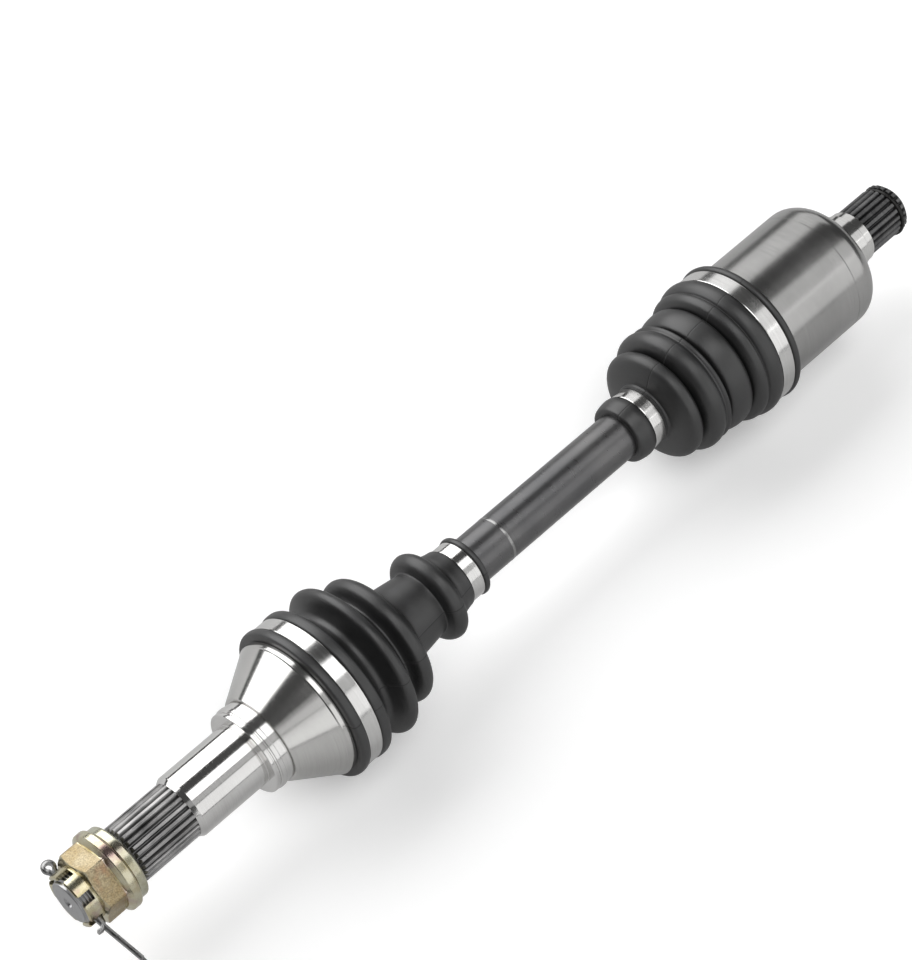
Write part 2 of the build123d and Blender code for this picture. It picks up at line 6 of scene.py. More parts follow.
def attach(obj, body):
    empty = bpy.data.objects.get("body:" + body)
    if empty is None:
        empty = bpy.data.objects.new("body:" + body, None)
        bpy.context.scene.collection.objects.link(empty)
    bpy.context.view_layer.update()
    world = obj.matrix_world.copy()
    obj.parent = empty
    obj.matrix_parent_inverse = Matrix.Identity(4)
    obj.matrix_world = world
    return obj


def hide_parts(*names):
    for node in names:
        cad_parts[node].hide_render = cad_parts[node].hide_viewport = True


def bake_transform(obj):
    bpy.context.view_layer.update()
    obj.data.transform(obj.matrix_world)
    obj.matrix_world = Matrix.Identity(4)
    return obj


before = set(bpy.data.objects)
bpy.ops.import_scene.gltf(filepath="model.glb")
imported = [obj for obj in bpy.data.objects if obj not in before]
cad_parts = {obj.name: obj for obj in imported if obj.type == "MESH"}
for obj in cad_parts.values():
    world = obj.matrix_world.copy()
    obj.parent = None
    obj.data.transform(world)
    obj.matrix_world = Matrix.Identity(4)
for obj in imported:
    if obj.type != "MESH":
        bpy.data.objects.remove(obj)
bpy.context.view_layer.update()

# ---------------------------------------------------------------- Camera and studio
# The axle lies on a pale sheet and is seen from above its wheel end, turned to run away up to the right.
# Broad overhead panels with gaps between them give the ground steel its long white and dark stripes.
ahead = (0.4315, 0.4155, -0.8007)
rightward = (0.6936, -0.7203, 0.0)
upward = (0.577, 0.5555, 0.599)
standpoint = (-0.40519, -0.51083, 1.05156)
camera = bpy.data.objects.new("camera", bpy.data.cameras.new("camera"))
bpy.context.scene.collection.objects.link(camera)
camera.data.sensor_fit, camera.data.sensor_width = "HORIZONTAL", 36.0
camera.data.lens, camera.data.clip_end = 118.4, 20.0
turned = Matrix((rightward, upward, [-c for c in ahead])).transposed()
camera.matrix_world = Matrix.Translation(standpoint) @ turned.to_4x4()
bpy.context.scene.camera = camera
bpy.context.scene.view_settings.view_transform = "Standard"

floor_half, floor_level = 1.9, -0.0377
bm = bmesh.new()
bmesh.ops.create_grid(bm, x_segments=2, y_segments=2, size=floor_half)
bmesh.ops.translate(bm, verts=bm.verts, vec=(0.15, 0, floor_level))
sheet = bpy.data.objects.new("studio_floor", bpy.data.meshes.new("studio_floor"))
bm.to_mesh(sheet.data)
bm.free()
bpy.context.scene.collection.objects.link(sheet)
# Painted shade in reflections: the sheet's colour is 0.93 to the camera but drops to 0.46 where the steel
# reflects it. The sheet also glows a little in that same colour.
paper = bpy.data.materials.new("studio_paper")
paper.use_nodes = True
paper_shader = paper.node_tree.nodes["Principled BSDF"]
paper_tone_shaded_in_mirrors = paper.node_tree.nodes.new("ShaderNodeMix")
paper_tone_shaded_in_mirrors.data_type = "RGBA"
mirrored = paper.node_tree.nodes.new("ShaderNodeLightPath").outputs["Is Glossy Ray"]
paper.node_tree.links.new(mirrored, paper_tone_shaded_in_mirrors.inputs["Factor"])
paper_tone_shaded_in_mirrors.inputs[6].default_value = (0.93, 0.93, 0.93, 1)
paper_tone_shaded_in_mirrors.inputs[7].default_value = (0.46, 0.46, 0.46, 1)
for socket_name in ("Base Color", "Emission Color"):
    paper.node_tree.links.new(paper_tone_shaded_in_mirrors.outputs[2], paper_shader.inputs[socket_name])
paper_shader.inputs["Roughness"].default_value = 0.6
paper_shader.inputs["Emission Strength"].default_value = 0.22
sheet.data.materials.append(paper)

world = bpy.data.worlds.new("studio")
bpy.context.scene.world = world
world.use_nodes = True
backdrop = world.node_tree.nodes["Background"]
backdrop.inputs["Color"].default_value = (1, 1, 1, 1)
seen_directly = world.node_tree.nodes.new("ShaderNodeLightPath").outputs["Is Camera Ray"]
strength = world.node_tree.nodes.new("ShaderNodeMapRange")
strength.inputs["To Min"].default_value, strength.inputs["To Max"].default_value = 0.07, 0.92
world.node_tree.links.new(seen_directly, strength.inputs["Value"])
world.node_tree.links.new(strength.outputs[0], backdrop.inputs["Strength"])


def hang_panel(name, angle, spread, glow, start=-2.5, end=4.5):
    """A long soft panel beside the axle, between two places along X.

    angle is from level behind the axle, over the top; spread is how wide it looks; both are in degrees."""
    away = 2.7
    data = bpy.data.lights.new(name, "AREA")
    data.shape = "RECTANGLE"
    data.size = end - start
    data.size_y = 2 * away * tan(radians(spread / 2))
    data.energy = glow * pi * data.size * data.size_y
    panel = bpy.data.objects.new(name, data)
    bpy.context.scene.collection.objects.link(panel)
    out = Vector((0, cos(radians(angle)), sin(radians(angle))))
    facing = Matrix(((1, 0, 0), out.cross((1, 0, 0)), out)).transposed().to_4x4()
    panel.matrix_world = Matrix.Translation(Vector(((start + end) / 2, 0, 0)) + away * out) @ facing


near_end, near_start, far_start, far_end = -4.8, -1.9, 1.6, 5.0
hang_panel("panel_back", 36, 54, 2.6, end=far_start)
hang_panel("panel_back_far", 38, 46, 0.9, far_start, far_end)
hang_panel("panel_top_near", 128, 26, 0.34, near_end, near_start)
hang_panel("panel_top", 107, 28, 1.9, near_start, far_start)
hang_panel("panel_top_far", 127, 34, 0.85, far_start, far_end)
hang_panel("panel_front_high", 131, 16, 0.5, end=far_start)
hang_panel("panel_front", 160, 38, 1.05)

# ---------------------------------------------------------------- Outer joint housing
# Forged steel bell with its stub: thread, 27-tooth hub spline, ground bearing journal, shoulder ring
# and turned cone. It is one piece, turned and ground all over, and hardened in the ball tracks.
outer_centre, cavity = 40.0, 25.0


def turned_blank(profile, closed=False, sides=192):
    """A lathe profile of (x, radius, corner rounding) in millimetres, spun about the axle."""
    bm = bmesh.new()
    chain = [bm.verts.new((x, 0, r)) for x, r, _ in profile]
    for a, b in zip(chain, chain[1:] + (chain[:1] if closed else [])):
        bm.edges.new((a, b))
    for size in sorted({p[2] for p in profile if p[2]}):
        corners = [v for v, p in zip(chain, profile) if p[2] == size]
        bmesh.ops.bevel(bm, geom=corners, offset=size, offset_type="OFFSET", segments=3, profile=0.5,
                        affect="VERTICES", material=-1)
    bmesh.ops.spin(bm, geom=bm.verts[:] + bm.edges[:], cent=(0, 0, 0), axis=(1, 0, 0), dvec=(0, 0, 0),
                   angle=2 * pi, steps=sides, use_merge=True, use_duplicate=False)
    bmesh.ops.remove_doubles(bm, verts=bm.verts[:], dist=0.0005)
    bmesh.ops.recalc_face_normals(bm, faces=bm.faces[:])
    return bm


def polish_off(bm, name, finishes, body, nodes=(), pick=None, crease=38.0):
    """Scale a millimetre mesh to metres, crease its hard edges, give it its finishes and fix it to a body."""
    bmesh.ops.scale(bm, vec=(0.001, 0.001, 0.001), verts=bm.verts[:])
    for edge in bm.edges:
        edge.smooth = len(edge.link_faces) == 2 and edge.calc_face_angle(0.0) < radians(crease)
    for face in bm.faces:
        face.smooth = True
        if pick:
            middle = face.calc_center_median() * 1000
            face.material_index = pick(middle.x, sqrt(middle.y ** 2 + middle.z ** 2))
    mesh = bpy.data.meshes.new(name)
    bm.to_mesh(mesh)
    bm.free()
    for finish in finishes:
        mesh.materials.append(finish)
    piece = bpy.data.objects.new(name, mesh)
    bpy.context.scene.collection.objects.link(piece)
    if nodes:
        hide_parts(*nodes)
    if body:
        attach(piece, body)
        flat_first = piece.modifiers.new("flat_faces_first", "WEIGHTED_NORMAL")
        flat_first.keep_sharp = True
    return piece


def group_of(name, inputs, outputs):
    """An empty node group with named float inputs (name, value) and outputs."""
    tree = bpy.data.node_groups.new(name, "ShaderNodeTree")
    for label, value in inputs:
        socket = tree.interface.new_socket(name=label, in_out="INPUT", socket_type="NodeSocketFloat")
        socket.default_value = value
    for label in outputs:
        tree.interface.new_socket(name=label, in_out="OUTPUT", socket_type="NodeSocketFloat")
    return tree, tree.nodes.new("NodeGroupInput"), tree.nodes.new("NodeGroupOutput")


def sum_node(tree, operation, a, b=None):
    """One Math node. a and b are sockets or numbers."""
    node = tree.nodes.new("ShaderNodeMath")
    node.operation = operation
    for slot_number, value in enumerate((a, b)):
        if isinstance(value, (int, float)):
            node.inputs[slot_number].default_value = value
        elif value is not None:
            tree.links.new(value, node.inputs[slot_number])
    return node.outputs[0]


def noise_node(tree, vector, scale, detail, rough):
    """One Noise Texture, read at the given place."""
    node = tree.nodes.new("ShaderNodeTexNoise")
    node.inputs["Scale"].default_value, node.inputs["Detail"].default_value = scale, detail
    node.inputs["Roughness"].default_value = rough
    tree.links.new(vector, node.inputs["Vector"])
    return node.outputs["Fac"]


# Marks left by the lathe or the grinding wheel: fine rings that follow the radius and the length,
# plus the soft cloudy patches that oil and handling leave.
turning, turning_in, turning_out = group_of(
    "turning_marks", (("Rings per metre", 2600.0), ("Patch scale", 28.0), ("Streaks around", 1.4)),
    ("Rings", "Patches", "Radius"))
place = turning.nodes.new("ShaderNodeTexCoord").outputs["Object"]
split = turning.nodes.new("ShaderNodeSeparateXYZ")
turning.links.new(place, split.inputs[0])
squared = [sum_node(turning, "POWER", split.outputs[axis], 2.0) for axis in (1, 2)]
radius = sum_node(turning, "SQRT", sum_node(turning, "ADD", *squared))
travel = sum_node(turning, "ADD", split.outputs[0], radius)
along = sum_node(turning, "MULTIPLY", travel, turning_in.outputs["Rings per metre"])
spread = turning.nodes.new("ShaderNodeCombineXYZ")
turning.links.new(along, spread.inputs[0])
off_axis = sum_node(turning, "MAXIMUM", radius, 0.001)
for axis in (1, 2):
    heading = sum_node(turning, "DIVIDE", split.outputs[axis], off_axis)
    streak = sum_node(turning, "MULTIPLY", heading, turning_in.outputs["Streaks around"])
    turning.links.new(streak, spread.inputs[axis])
turning.links.new(noise_node(turning, spread.outputs[0], 1.0, 4.0, 0.7), turning_out.inputs["Rings"])
patch = turning.nodes.new("ShaderNodeTexNoise")
patch.inputs["Detail"].default_value = 5.0
turning.links.new(place, patch.inputs["Vector"])
turning.links.new(turning_in.outputs["Patch scale"], patch.inputs["Scale"])
turning.links.new(patch.outputs["Fac"], turning_out.inputs["Patches"])
turning.links.new(radius, turning_out.inputs["Radius"])


def new_finish(name, metallic, ior=1.5):
    """A material with its Principled shader, ready for colour, roughness and bump."""
    finish = bpy.data.materials.new(name)
    finish.use_nodes = True
    shader = finish.node_tree.nodes["Principled BSDF"]
    shader.inputs["Metallic"].default_value, shader.inputs["IOR"].default_value = metallic, ior
    return finish, finish.node_tree, shader


def shade_between(tree, factor, dark, light, low=0.3, high=0.7):
    """A colour ramp between two colours."""
    ramp = tree.nodes.new("ShaderNodeValToRGB")
    ramp.color_ramp.elements[0].position, ramp.color_ramp.elements[1].position = low, high
    ramp.color_ramp.elements[0].color, ramp.color_ramp.elements[1].color = (*dark, 1), (*light, 1)
    tree.links.new(factor, ramp.inputs[0])
    return ramp.outputs[0]


def spread_values(tree, factor, low, high, to_low, to_high):
    """Map a value from one range onto another."""
    node = tree.nodes.new("ShaderNodeMapRange")
    for slot_number, value in enumerate((low, high, to_low, to_high)):
        node.inputs[slot_number + 1].default_value = value
    tree.links.new(factor, node.inputs[0])
    return node.outputs[0]


def raise_grain(tree, shader, height, distance):
    """Bump from a height value. distance is how far a height of 1 stands up, in metres."""
    bump = tree.nodes.new("ShaderNodeBump")
    bump.inputs["Distance"].default_value, bump.inputs["Strength"].default_value = distance, 1.0
    tree.links.new(height, bump.inputs["Height"])
    tree.links.new(bump.outputs[0], shader.inputs["Normal"])


def turned_steel(name, dark, light, rough_low, rough_high, rings=2600.0, depth=0.000012, patches=28.0,
                 tooth=None, around=1.4):
    """Machined steel. tooth gives (root radius, crest radius, root shade) for splines, the radii in metres;
    the colour is painted darker from crest to root, down to root shade, as painted shade between the teeth.
    """
    finish, tree, shader = new_finish(name, 1.0)
    marks = tree.nodes.new("ShaderNodeGroup")
    marks.node_tree = turning
    for slot_number, value in enumerate((rings, patches, around)):
        marks.inputs[slot_number].default_value = value
    ring_half = sum_node(tree, "MULTIPLY", marks.outputs["Rings"], 0.5)
    patch_half = sum_node(tree, "MULTIPLY", marks.outputs["Patches"], 0.5)
    colour = shade_between(tree, sum_node(tree, "ADD", ring_half, patch_half), dark, light, 0.35, 0.62)
    # painted shade: on splines the colour darkens from the tooth crest down to the root, where the gaps
    # between teeth lie in shade
    if tooth:
        height = spread_values(tree, marks.outputs["Radius"], tooth[0], tooth[1], tooth[2], 1.0)
        mix = tree.nodes.new("ShaderNodeMix")
        mix.data_type, mix.blend_type = "RGBA", "MULTIPLY"
        mix.inputs["Factor"].default_value = 1.0
        tree.links.new(colour, mix.inputs[6])
        tree.links.new(height, mix.inputs[7])
        colour = mix.outputs[2]
    tree.links.new(colour, shader.inputs["Base Color"])
    ring_share = sum_node(tree, "MULTIPLY", marks.outputs["Rings"], 0.35)
    patch_share = sum_node(tree, "MULTIPLY", marks.outputs["Patches"], 0.65)
    rough = sum_node(tree, "ADD", ring_share, patch_share)
    tree.links.new(spread_values(tree, rough, 0.3, 0.7, rough_low, rough_high), shader.inputs["Roughness"])
    raise_grain(tree, shader, marks.outputs["Rings"], depth)
    return finish


ground_journal = turned_steel("ground_journal", (0.62, 0.61, 0.60), (0.76, 0.755, 0.745), 0.09, 0.17,
                              3800.0, 0.0000015)
turned_cone = turned_steel("turned_cone", (0.50, 0.495, 0.485), (0.64, 0.635, 0.62), 0.10, 0.19,
                           3100.0, 0.000004)
# the hub spline's colour carries painted shade, darker at its tooth roots
spline_steel = turned_steel("spline_steel", (0.09, 0.09, 0.092), (0.44, 0.435, 0.43), 0.24, 0.42, 130.0,
                            0.00004, 60.0, (0.0121, 0.0135, 0.40), 46.0)
stub_end_steel = turned_steel("stub_end_steel", (0.24, 0.24, 0.245), (0.42, 0.42, 0.425), 0.22, 0.36, 2200.0)
track_steel = turned_steel("track_steel", (0.28, 0.27, 0.26), (0.46, 0.45, 0.44), 0.16, 0.30, 900.0)

stub_core = [(-88.9, 0, 0), (-92.8, 1.0, 0), (-96.0, 2.6, 0.15), (-96.0, 9.7, 0.5), (-94.9, 10.0, 0),
             (-69.2, 10.0, 0), (-68.6, 10.5, 0.1), (-66.5, 10.5, 0), (-66.4, 12.15, 0), (-36.8, 12.15, 0)]
journal_turn = [(-36.8, 13.45, 0.25), (-34.4, 15.0, 0.3), (-0.9, 15.0, 0), (-0.6, 14.8, 0.1),
                (0.0, 14.8, 0.15)]
shoulder_turn = [(0.0, 20.0, 0.5), (1.6, 20.0, 0.2), (1.75, 19.5, 0), (2.35, 19.5, 0), (2.5, 19.9, 0.1),
                 (3.15, 19.9, 0.1), (3.3, 20.4, 0.2), (5.4, 20.4, 0.35), (5.45, 20.0, 0.1), (9.0, 20.0, 0.2),
                 (9.15, 19.55, 0), (9.4, 19.6, 0)]
bell_turn = [(9.5, 21.3, 0.25), (29.0, 33.15, 0.3), (29.3, 33.6, 0.25), (32.2, 33.6, 0.3), (32.25, 32.9, 0.1),
             (48.0, 32.9, 0.4), (48.0, 25.2, 0.3)]
cavity_turn = [(outer_centre + cavity * cos(radians(a)), cavity * sin(radians(a)), 0)
               for a in range(74, 180, 2)] + [(outer_centre - cavity, 0, 0)]
bm = turned_blank(stub_core + journal_turn + shoulder_turn + bell_turn + cavity_turn)

# the six ball tracks are milled outwards from the cavity, along arcs about the joint's centre
ball_circle, track_cutter = 22.0, 8.3
track_start, track_end = -cavity * sin(radians(42)), 47.95
joint_middle = Vector((outer_centre, 0, 0))
for vert in bm.verts:
    reach = vert.co - joint_middle
    if abs(reach.length - cavity) < 0.05 and vert.co.x < track_end - 0.05 and reach.x > track_start:
        turn = (atan2(vert.co.y, vert.co.z) + pi / 6) % (pi / 3) - pi / 6
        aside = asin(sin(turn) * sqrt(reach.y ** 2 + reach.z ** 2) / cavity)
        if abs(ball_circle * sin(aside)) < track_cutter:
            deep = ball_circle * cos(aside) + sqrt(track_cutter ** 2 - (ball_circle * sin(aside)) ** 2)
            vert.co = joint_middle + reach * max(1.0, deep / cavity)
            vert.co.x = min(vert.co.x, track_end)


def cut_teeth(bm, start, end, root, crest, count, bevel_start, bevel_end):
    """Spline teeth with curved flanks, standing on the turned core between two places along X."""
    pitch = pi / count
    flank = [(root - 0.4, 0.90), (root, 0.86), (root + 0.3 * (crest - root), 0.74),
             (root + 0.65 * (crest - root), 0.58), (crest - 0.08, 0.42), (crest, 0.36)]
    outline = [(-r * sin(w * pitch), r * cos(w * pitch)) for r, w in flank]
    outline += [(-y, z) for y, z in reversed(outline)]
    first = bm.faces.new([bm.verts.new((start, y, z)) for y, z in outline])
    grown = bmesh.ops.extrude_face_region(bm, geom=[first])["geom"]
    far = [g for g in grown if isinstance(g, bmesh.types.BMVert)]
    bmesh.ops.translate(bm, verts=far, vec=(end - start, 0, 0))
    near = list(first.verts) if first.is_valid else []
    for verts, lean in ((near, bevel_start), (far, -bevel_end)):
        for vert in verts:
            vert.co.x += lean * max(0.0, sqrt(vert.co.y ** 2 + vert.co.z ** 2) - root)
    tooth = near + far
    edges = list({e for v in tooth for e in v.link_edges})
    faces = list({f for v in tooth for f in v.link_faces})
    bmesh.ops.recalc_face_normals(bm, faces=faces)
    bmesh.ops.spin(bm, geom=tooth + edges + faces, cent=(0, 0, 0), axis=(1, 0, 0), dvec=(0, 0, 0),
                   angle=2 * pi * (count - 1) / count, steps=count - 1, use_merge=False, use_duplicate=True)


cut_teeth(bm, start=-66.5, end=-36.3, root=12.15, crest=13.5, count=27, bevel_start=1.0, bevel_end=0.0)


def housing_zone(x, r):
    """Which finish the lathe and grinder left: 0 cone, 1 journal, 2 spline, 3 stub end, 4 joint cavity."""
    off_cavity = abs(sqrt((x - outer_centre) ** 2 + r * r) - cavity)
    inside_bell = 15 < x < 47.9 and r < 29.5 and r < 33 - 0.9 * abs(x - 45)
    if inside_bell and off_cavity < 4.6:
        return 4
    if x < -66.2:
        return 3
    if x < -36.7:
        return 2
    return 1 if x < 9.3 else 0


polish_off(bm, "outer_housing_steel",
           [turned_cone, ground_journal, spline_steel, stub_end_steel, track_steel],
           "outer_housing", ["outer_housing"], housing_zone)

# the rolled thread: one ridge of flattened vee section wound round the stub
thread_pitch, thread_turns, steps_a_turn = 1.5, 16.8, 48
bm = bmesh.new()
ridge = [bm.verts.new((x, 0, r)) for x, r in ((-95.6, 9.9), (-95.0, 10.88), (-94.75, 10.88), (-94.15, 9.9))]
bm.faces.new(ridge)
bmesh.ops.spin(bm, geom=bm.verts[:] + bm.edges[:] + bm.faces[:], cent=(0, 0, 0), axis=(1, 0, 0),
               dvec=(thread_pitch / steps_a_turn, 0, 0), angle=2 * pi * thread_turns,
               steps=int(steps_a_turn * thread_turns), use_merge=False, use_duplicate=False)
bmesh.ops.recalc_face_normals(bm, faces=bm.faces[:])
polish_off(bm, "stub_thread", [stub_end_steel], "outer_housing")

# ---------------------------------------------------------------- Castle nut
# Flanged hexagon nut, its crown cut into six merlons for the cotter pin. It is machined from bar,
# zinc plated and yellow chromated, so its faces run from straw to violet.
nut_clocking = radians(10)
half_flats, nut_bore, crown_radius, slot_half = 15.0, 10.95, 12.9, 2.3


def chromate_zinc(name, pale, straw, violet, rough, grain_scale, grain_depth, speckle=0.0):
    """Yellow chromate over zinc: straw colour with violet and rusty clouds, and a sandy, speckled grain."""
    finish, tree, shader = new_finish(name, 1.0)
    place = tree.nodes.new("ShaderNodeTexCoord").outputs["Object"]
    clouds = noise_node(tree, place, 130.0, 4.0, 0.6)
    tint = shade_between(tree, clouds, straw, pale, 0.36, 0.60)
    stain = shade_between(tree, noise_node(tree, place, 74.0, 3.0, 0.7), (0, 0, 0), (1, 1, 1), 0.54, 0.70)
    mix = tree.nodes.new("ShaderNodeMix")
    mix.data_type = "RGBA"
    tree.links.new(sum_node(tree, "MULTIPLY", stain, 0.65), mix.inputs["Factor"])
    tree.links.new(tint, mix.inputs[6])
    mix.inputs[7].default_value = (*violet, 1)
    grain = noise_node(tree, place, grain_scale, 2.0, 0.6)
    sanded = tree.nodes.new("ShaderNodeMix")
    sanded.data_type, sanded.blend_type = "RGBA", "MULTIPLY"
    sanded.inputs["Factor"].default_value = 1.0
    tree.links.new(mix.outputs[2], sanded.inputs[6])
    speckled = spread_values(tree, grain, 0.36, 0.64, 1.0 - speckle, 1.0 + 0.6 * speckle)
    tree.links.new(speckled, sanded.inputs[7])
    tree.links.new(sanded.outputs[2], shader.inputs["Base Color"])
    tree.links.new(spread_values(tree, grain, 0.3, 0.7, rough[0], rough[1]), shader.inputs["Roughness"])
    raise_grain(tree, shader, grain, grain_depth)
    return finish


nut_turned = chromate_zinc("nut_turned", (0.60, 0.57, 0.43), (0.48, 0.42, 0.26), (0.38, 0.22, 0.26),
                           (0.15, 0.26), 2600.0, 0.00001)
nut_sandy = chromate_zinc("nut_sandy", (0.46, 0.39, 0.26), (0.36, 0.275, 0.145), (0.38, 0.19, 0.10),
                          (0.30, 0.50), 1500.0, 0.00016, 0.32)
bm = turned_blank([(-88.5, nut_bore, 0), (-88.5, 14.5, 0), (-87.0, 17.0, 0), (-78.9, 17.3, 0),
                   (-78.0, 17.6, 0), (-78.0, nut_bore, 0)], True, sides=216)
for vert in bm.verts:
    reach = sqrt(vert.co.y ** 2 + vert.co.z ** 2)
    if reach > 16.5:
        turn = atan2(vert.co.z, vert.co.y)
        off_flat = (turn - nut_clocking + pi / 6) % (pi / 3) - pi / 6
        flat = min(half_flats / cos(off_flat), 17.05)
        vert.co.y, vert.co.z = flat * cos(turn), flat * sin(turn)
        if vert.co.x < -86.5:
            vert.co.x = -88.5 + 0.55 * (flat - 14.5)
flange = turned_blank([(-78.6, nut_bore, 0), (-78.6, 16.4, 0), (-77.2, 18.4, 0.5), (-76.9, 19.0, 0.4),
                       (-73.3, 19.0, 0.7), (-72.75, 18.0, 0.2), (-72.75, nut_bore, 0)], True)
crown_base = turned_blank([(-89.4, nut_bore, 0), (-89.4, crown_radius, 0.1), (-88.3, crown_radius, 0),
                           (-88.3, nut_bore, 0)], True)

# one merlon is swept round a part of the crown, drawn in to leave half a slot each side, and repeated
merlon = bmesh.new()
section = [(-88.6, nut_bore), (-94.7, nut_bore), (-95.3, 11.5), (-95.3, 12.3), (-94.8, crown_radius),
           (-88.6, crown_radius)]
merlon.faces.new([merlon.verts.new((x, r, 0)) for x, r in section])
bmesh.ops.spin(merlon, geom=merlon.verts[:] + merlon.edges[:] + merlon.faces[:], cent=(0, 0, 0),
               axis=(1, 0, 0), dvec=(0, 0, 0), angle=radians(48), steps=12, use_merge=False,
               use_duplicate=False)
for vert in merlon.verts:
    reach = sqrt(vert.co.y ** 2 + vert.co.z ** 2)
    share = atan2(vert.co.z, vert.co.y) / radians(24) - 1
    turn = share * (pi / 6 - asin(slot_half / reach)) + nut_clocking + pi / 6
    vert.co.y, vert.co.z = reach * cos(turn), reach * sin(turn)
bmesh.ops.recalc_face_normals(merlon, faces=merlon.faces[:])
hard = [e for e in merlon.edges if len(e.link_faces) == 2 and e.calc_face_angle(0.0) > radians(60)
        and max(v.co.x for v in e.verts) < -89]
bmesh.ops.bevel(merlon, geom=hard, offset=0.28, offset_type="OFFSET", segments=2, profile=0.5,
                affect="EDGES", material=-1)
bmesh.ops.spin(merlon, geom=merlon.verts[:] + merlon.edges[:] + merlon.faces[:], cent=(0, 0, 0),
               axis=(1, 0, 0), dvec=(0, 0, 0), angle=radians(300), steps=5, use_merge=False,
               use_duplicate=True)
for extra in (flange, crown_base, merlon):
    loose = bpy.data.meshes.new("nut_bit")
    extra.to_mesh(loose)
    extra.free()
    bm.from_mesh(loose)
    bpy.data.meshes.remove(loose)
polish_off(bm, "castle_nut_zinc", [nut_turned, nut_sandy], "outer_housing", ["castle_nut"],
           lambda x, r: 1 if -87.6 < x < -78.7 and r > 14.7 else 0, 30.0)

# ---------------------------------------------------------------- Nut washer
# Thick hardened ring between the nut and the hub, turned from bar with rounded outer edges.
# It is zinc plated like the nut, but its chromate is paler, with a greenish cast.
washer_zinc = chromate_zinc("washer_zinc", (0.58, 0.575, 0.46), (0.45, 0.43, 0.30), (0.36, 0.29, 0.26),
                            (0.14, 0.26), 2600.0, 0.00001)
bm = turned_blank([(-72.65, nut_bore, 0), (-72.65, 16.8, 0.3), (-72.2, 17.3, 0.3), (-68.8, 17.3, 0.5),
                   (-68.3, 16.7, 0.2), (-68.3, nut_bore, 0.2)], True)
polish_off(bm, "nut_washer_zinc", [washer_zinc], "outer_housing", ["nut_washer"])

# ---------------------------------------------------------------- Cotter pin
# Half-round zinc wire folded on itself round an eye and pushed through slot and stub.
# One leg is left long past the nut, and the other is bent back against the stub.
pin_wire, tree, shader = new_finish("pin_wire", 1.0)
place = tree.nodes.new("ShaderNodeTexCoord").outputs["Object"]
drawn = tree.nodes.new("ShaderNodeMapping")
drawn.inputs["Scale"].default_value = (900, 60, 900)
tree.links.new(place, drawn.inputs["Vector"])
streaks = noise_node(tree, drawn.outputs[0], 1.0, 3.0, 0.6)
wire_tone = shade_between(tree, streaks, (0.20, 0.20, 0.20), (0.42, 0.42, 0.415))
tree.links.new(wire_tone, shader.inputs["Base Color"])
tree.links.new(spread_values(tree, streaks, 0.3, 0.7, 0.20, 0.38), shader.inputs["Roughness"])
raise_grain(tree, shader, streaks, 0.00002)


def bend_wire(bm, path, section):
    """Draw a section along a flat path in the XY plane. section is (to the left, up) about the path."""
    steps = []
    for number, point in enumerate(path):
        before, after = path[max(0, number - 1)], path[min(len(path) - 1, number + 1)]
        run = Vector((after[0] - before[0], after[1] - before[1], 0)).normalized()
        side = Vector((-run.y, run.x, 0))
        turned_to = Matrix((side, (0, 0, 1), run)).transposed().to_4x4()
        steps.append(Matrix.Translation((point[0], point[1], 0)) @ turned_to)
    tip = bm.faces.new([bm.verts.new(steps[0] @ Vector((a, b, 0))) for a, b in section])
    for before, after in zip(steps, steps[1:]):
        grown = bmesh.ops.extrude_face_region(bm, geom=[tip])["geom"]
        fresh = [g for g in grown if isinstance(g, bmesh.types.BMVert)]
        old_tip = tip
        tip = [g for g in grown if isinstance(g, bmesh.types.BMFace)][0]
        bmesh.ops.transform(bm, matrix=after @ before.inverted(), verts=fresh)
        if old_tip.is_valid and before is not steps[0]:
            bm.faces.remove(old_tip)


pin_x = -91.4
wire_radius = 1.8
half_round = [(wire_radius * sin(radians(a)), wire_radius * cos(radians(a))) for a in range(0, 181, 20)]
half_round += [(-0.03, -0.7), (-0.03, 0.7)]
eye_centre, eye_bend = 16.7, 1.5
eye_turn = [radians(a) for a in range(-155, 156, 10)]
eye = [(pin_x + eye_bend * sin(a), eye_centre + eye_bend * cos(a)) for a in eye_turn]
long_leg = [(pin_x + 2.35, -40.0), (pin_x + 2.1, -37.1), (pin_x + 2.08, -36.8), (pin_x + 1.5, -31.0),
            (pin_x + 0.95, -25.5), (pin_x + 0.35, -19.5), (pin_x + 0.02, -15.5), (pin_x - 0.08, -13.0)]
short_leg = [(pin_x + 0.08, -13.0), (pin_x - 0.3, -14.6), (pin_x - 1.3, -15.9), (pin_x - 2.7, -16.5),
             (pin_x - 4.0, -16.3)]
to_eye = [(pin_x - 0.08, 0.0), (pin_x - 0.08, 12.6)]
from_eye = [(pin_x + 0.08, 12.6), (pin_x + 0.08, 0.0)]
bm = bmesh.new()
bend_wire(bm, long_leg + to_eye + eye + from_eye + short_leg, half_round)
tip = [v for v in bm.verts if v.co.y < -37.0]
bmesh.ops.scale(bm, vec=(0.72, 1, 0.72), space=Matrix.Translation((-pin_x - 1.4, 0, 0)), verts=tip)
bmesh.ops.recalc_face_normals(bm, faces=bm.faces[:])
bmesh.ops.rotate(bm, cent=(0, 0, 0), matrix=Matrix.Rotation(nut_clocking, 3, "X"), verts=bm.verts[:])
polish_off(bm, "cotter_pin_wire", [pin_wire], "outer_housing", ["cotter_pin"], crease=50.0)
